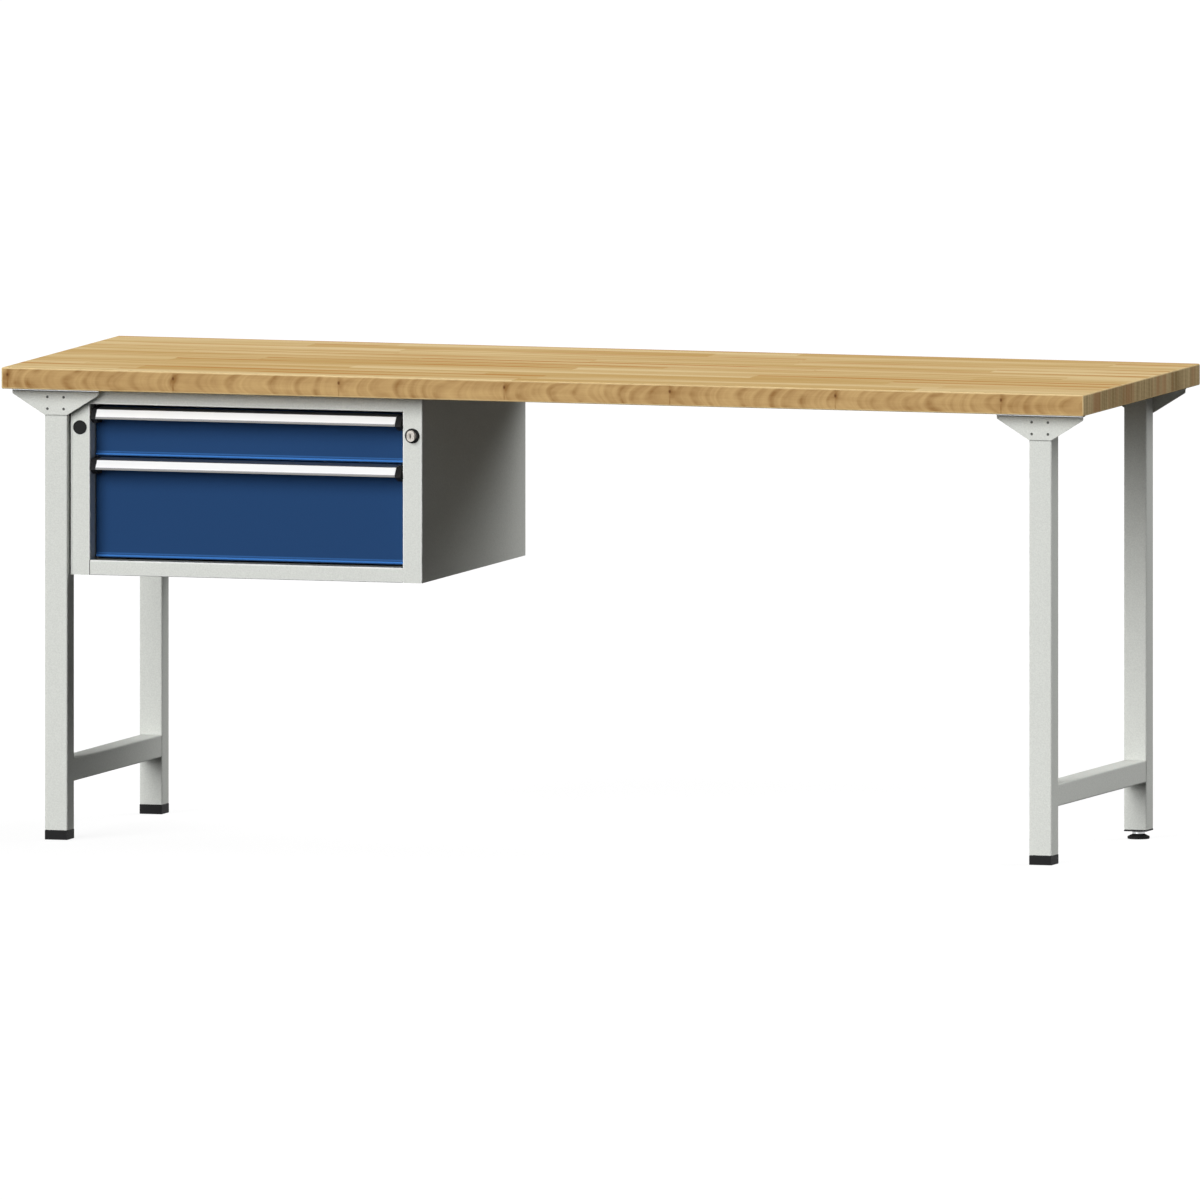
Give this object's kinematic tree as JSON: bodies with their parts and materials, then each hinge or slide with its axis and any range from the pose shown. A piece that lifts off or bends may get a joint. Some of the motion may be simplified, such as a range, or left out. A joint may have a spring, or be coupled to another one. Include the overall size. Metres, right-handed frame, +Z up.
{
  "type": "workbench",
  "caption": "Workbench with a thick solid beech top on square-tube end frames and a lockable drawer cabinet hung under the top's left end.",
  "frame": {"origin": "on the floor, under the centre of the worktop", "axes": "+X along the bench to the right seen from the front, the drawers and the front edge face -Y, +Z up"},
  "size_m": [2, 0.7, 0.838],
  "materials": {
    "beech": "oiled solid beech, satin",
    "grey_paint": "light grey powder coat, fine texture",
    "blue_paint": "deep blue powder coat, smooth satin",
    "aluminium": "anodised, satin",
    "zinc_steel": "bright zinc plate",
    "nickel": "nickel plate",
    "black_plastic": "black moulded plastic, fine texture"
  },
  "bodies": {
    "bench": {"worktop": "beech", "front_left_leg": "grey_paint", "front_right_leg": "grey_paint", "rear_left_leg": "grey_paint", "rear_right_leg": "grey_paint", "front_left_foot_cap": "black_plastic", "front_right_foot_cap": "black_plastic", "rear_left_foot_cap": "black_plastic", "rear_right_leg_insert": "black_plastic", "left_crossbar": "grey_paint", "right_crossbar": "grey_paint", "front_left_bracket": "grey_paint", "front_right_bracket": "grey_paint", "rear_left_bracket": "grey_paint", "rear_right_bracket": "grey_paint", "cabinet_left_side": "grey_paint", "cabinet_right_side": "grey_paint", "cabinet_top": "grey_paint", "cabinet_bottom": "grey_paint", "cabinet_back": "grey_paint", "flange_hole_plug": "black_plastic", "lock_escutcheon": "black_plastic", "lock_nut": "zinc_steel", "lock_cylinder": "nickel", "left_front_slide_post": "zinc_steel", "left_rear_slide_post": "zinc_steel", "right_front_slide_post": "zinc_steel", "right_rear_slide_post": "zinc_steel", "slide_1_left_cabinet_member": "zinc_steel", "slide_1_right_cabinet_member": "zinc_steel", "slide_2_left_cabinet_member": "zinc_steel", "slide_2_right_cabinet_member": "zinc_steel"},
    "drawer_1": {"drawer_1_tray": "grey_paint", "drawer_1_front": "blue_paint", "drawer_1_handle_strip": "aluminium", "drawer_1_left_handle_cap": "black_plastic", "drawer_1_right_handle_cap": "black_plastic", "slide_1_left_drawer_member": "zinc_steel", "slide_1_right_drawer_member": "zinc_steel", "drawer_1_lock_catch": "zinc_steel"},
    "drawer_1_runners": {"slide_1_left_middle_member": "zinc_steel", "slide_1_right_middle_member": "zinc_steel"},
    "drawer_2": {"drawer_2_tray": "grey_paint", "drawer_2_front": "blue_paint", "drawer_2_handle_strip": "aluminium", "drawer_2_left_handle_cap": "black_plastic", "drawer_2_right_handle_cap": "black_plastic", "slide_2_left_drawer_member": "zinc_steel", "slide_2_right_drawer_member": "zinc_steel", "drawer_2_lock_catch": "zinc_steel"},
    "drawer_2_runners": {"slide_2_left_middle_member": "zinc_steel", "slide_2_right_middle_member": "zinc_steel"},
    "lock": {"lock_core": "nickel", "lock_cam": "zinc_steel"},
    "locking_bar": {"locking_bar": "zinc_steel"},
    "leveller_pad": {"leveller_glide": "black_plastic"},
    "leveller_spindle": {"leveller_spindle": "zinc_steel"}
  },
  "joints": [
    {"name": "drawer_1_slide", "type": "slide", "parent": "bench", "child": "drawer_1", "axis": [0, -1, 0], "range_m": [0, 0.5]},
    {"name": "drawer_1_runner_slide", "type": "slide", "parent": "bench", "child": "drawer_1_runners", "axis": [0, -1, 0], "range_m": [0, 0.25]},
    {"name": "drawer_2_slide", "type": "slide", "parent": "bench", "child": "drawer_2", "axis": [0, -1, 0], "range_m": [0, 0.5]},
    {"name": "drawer_2_runner_slide", "type": "slide", "parent": "bench", "child": "drawer_2_runners", "axis": [0, -1, 0], "range_m": [0, 0.25]},
    {"name": "lock_turn", "type": "hinge", "parent": "bench", "child": "lock", "pos_m": [-0.2547, -0.303, 0.7313], "axis": [0, -1, 0], "range_deg": [0, 90]},
    {"name": "locking_bar_slide", "type": "slide", "parent": "bench", "child": "locking_bar", "axis": [0, 0, -1], "range_m": [0, 0.01131]},
    {"name": "leveller_turn", "type": "hinge", "parent": "leveller_pad", "child": "leveller_spindle", "pos_m": [0.9095, 0.274, 0.02], "axis": [0, 0, 1], "range_deg": [0, 3600]},
    {"name": "leveller_travel", "type": "slide", "parent": "bench", "child": "leveller_pad", "axis": [0, 0, -1], "range_m": [0, 0.015]}
  ],
  "couplings": [
    {"joint": "drawer_1_runner_slide", "follows": "drawer_1_slide", "ratio": 0.5},
    {"joint": "drawer_2_runner_slide", "follows": "drawer_2_slide", "ratio": 0.5},
    {"joint": "lock_turn", "follows": "locking_bar_slide", "rad_per_m": 138.84},
    {"joint": "leveller_turn", "follows": "leveller_travel", "rad_per_m": 4188.8}
  ]
}
